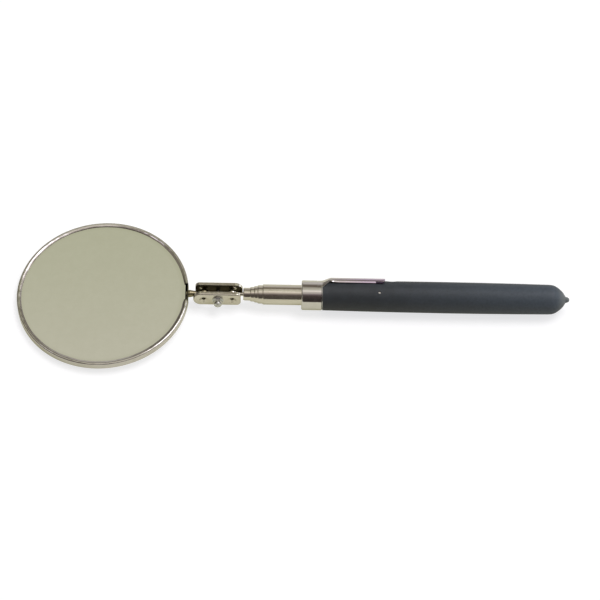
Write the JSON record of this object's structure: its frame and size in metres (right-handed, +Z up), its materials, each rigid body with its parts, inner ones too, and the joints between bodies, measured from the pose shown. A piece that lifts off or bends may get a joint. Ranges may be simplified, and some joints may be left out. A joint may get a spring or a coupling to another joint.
{
  "type": "telescoping inspection mirror",
  "caption": "Round inspection mirror on a double ball joint, with a telescoping tube, a cushion grip and a pocket clip.",
  "frame": {"origin": "on the table under the middle of the collapsed tool, which lies on its grip and the mirror's far edge", "axes": "+X along the handle to the grip's end, +Z up from the table, the mirror at -X facing up"},
  "size_m": [0.2644, 0.0824, 0.0156],
  "materials": {
    "grip_vinyl": "matt dipped vinyl, dark slate grey",
    "tube_steel": "drawn steel",
    "bright_plate": "polished nickel-chrome plate",
    "plate_nickel": "nickel plate on pressed steel",
    "fastener_steel": "bright zinc plate",
    "frame_chrome": "polished chrome plate",
    "clip_spring": "bright plated spring steel",
    "brass": "turned brass",
    "plug_plastic": "black moulded plastic",
    "backing_pad": "thin felt pad",
    "mirror_glass": "silvered float glass"
  },
  "bodies": {
    "handle": {"cushion_grip": "grip_vinyl", "handle_tube": "tube_steel", "ferrule": "bright_plate", "front_bush": "brass", "rear_bush": "brass", "tail_plug": "plug_plastic", "base_tube": "bright_plate"},
    "clip": {"pocket_clip": "clip_spring"},
    "section_2": {"section_2_tube": "bright_plate", "section_2_sleeve": "brass"},
    "section_3": {"section_3_tube": "bright_plate", "section_3_sleeve": "brass"},
    "section_4": {"section_4_tube": "bright_plate", "section_4_sleeve": "brass"},
    "section_5_slide": {"section_5_sleeve": "brass"},
    "section_5": {"section_5_tube": "bright_plate", "tip_plug": "brass", "ball_rod": "bright_plate"},
    "clamp": {"front_plate": "plate_nickel", "back_plate": "plate_nickel", "clamp_screw": "fastener_steel", "clamp_washer": "fastener_steel"},
    "nut": {"clamp_nut": "fastener_steel"},
    "stud": {"mirror_stud": "bright_plate"},
    "mirror": {"mirror_frame": "frame_chrome", "mirror_backing": "backing_pad", "mirror_glass": "mirror_glass"}
  },
  "joints": [
    {"name": "section_2_slide", "type": "slide", "parent": "handle", "child": "section_2", "axis": [-1, 0, 0], "range_m": [0, 0.1195]},
    {"name": "section_3_slide", "type": "slide", "parent": "section_2", "child": "section_3", "axis": [-1, 0, 0], "range_m": [0, 0.1213]},
    {"name": "section_4_slide", "type": "slide", "parent": "section_3", "child": "section_4", "axis": [-1, 0, 0], "range_m": [0, 0.1223]},
    {"name": "section_5_slide", "type": "slide", "parent": "section_4", "child": "section_5_slide", "axis": [-1, 0, 0], "range_m": [0, 0.1236]},
    {"name": "tip_twist", "type": "hinge", "parent": "section_5_slide", "child": "section_5", "pos_m": [-0.02905, 0, 0.0075], "axis": [-1, 0, 0], "continuous": true},
    {"name": "clamp_swing", "type": "hinge", "parent": "section_5", "child": "clamp", "pos_m": [-0.02905, 0, 0.0075], "axis": [0, 1, 0], "range_deg": [-100, 100]},
    {"name": "mirror_swing", "type": "hinge", "parent": "clamp", "child": "stud", "pos_m": [-0.04255, 0, 0.0075], "axis": [0, -1, 0], "range_deg": [-100, 100]},
    {"name": "mirror_turn", "type": "hinge", "parent": "stud", "child": "mirror", "pos_m": [-0.04255, 0, 0.0075], "axis": [-0.9981, 0, -0.0623], "continuous": true},
    {"name": "nut_turn", "type": "hinge", "parent": "clamp", "child": "nut", "pos_m": [-0.0358, -0.00375, 0.0075], "axis": [0, -1, 0], "range_deg": [-180, 30]},
    {"name": "clip_flex", "type": "hinge", "parent": "handle", "child": "clip", "pos_m": [0.01185, 0.00423, 0.01292], "axis": [0, -0.788, 0.6157], "range_deg": [0, 4], "stiffness_Nm_per_rad": 0.5}
  ]
}
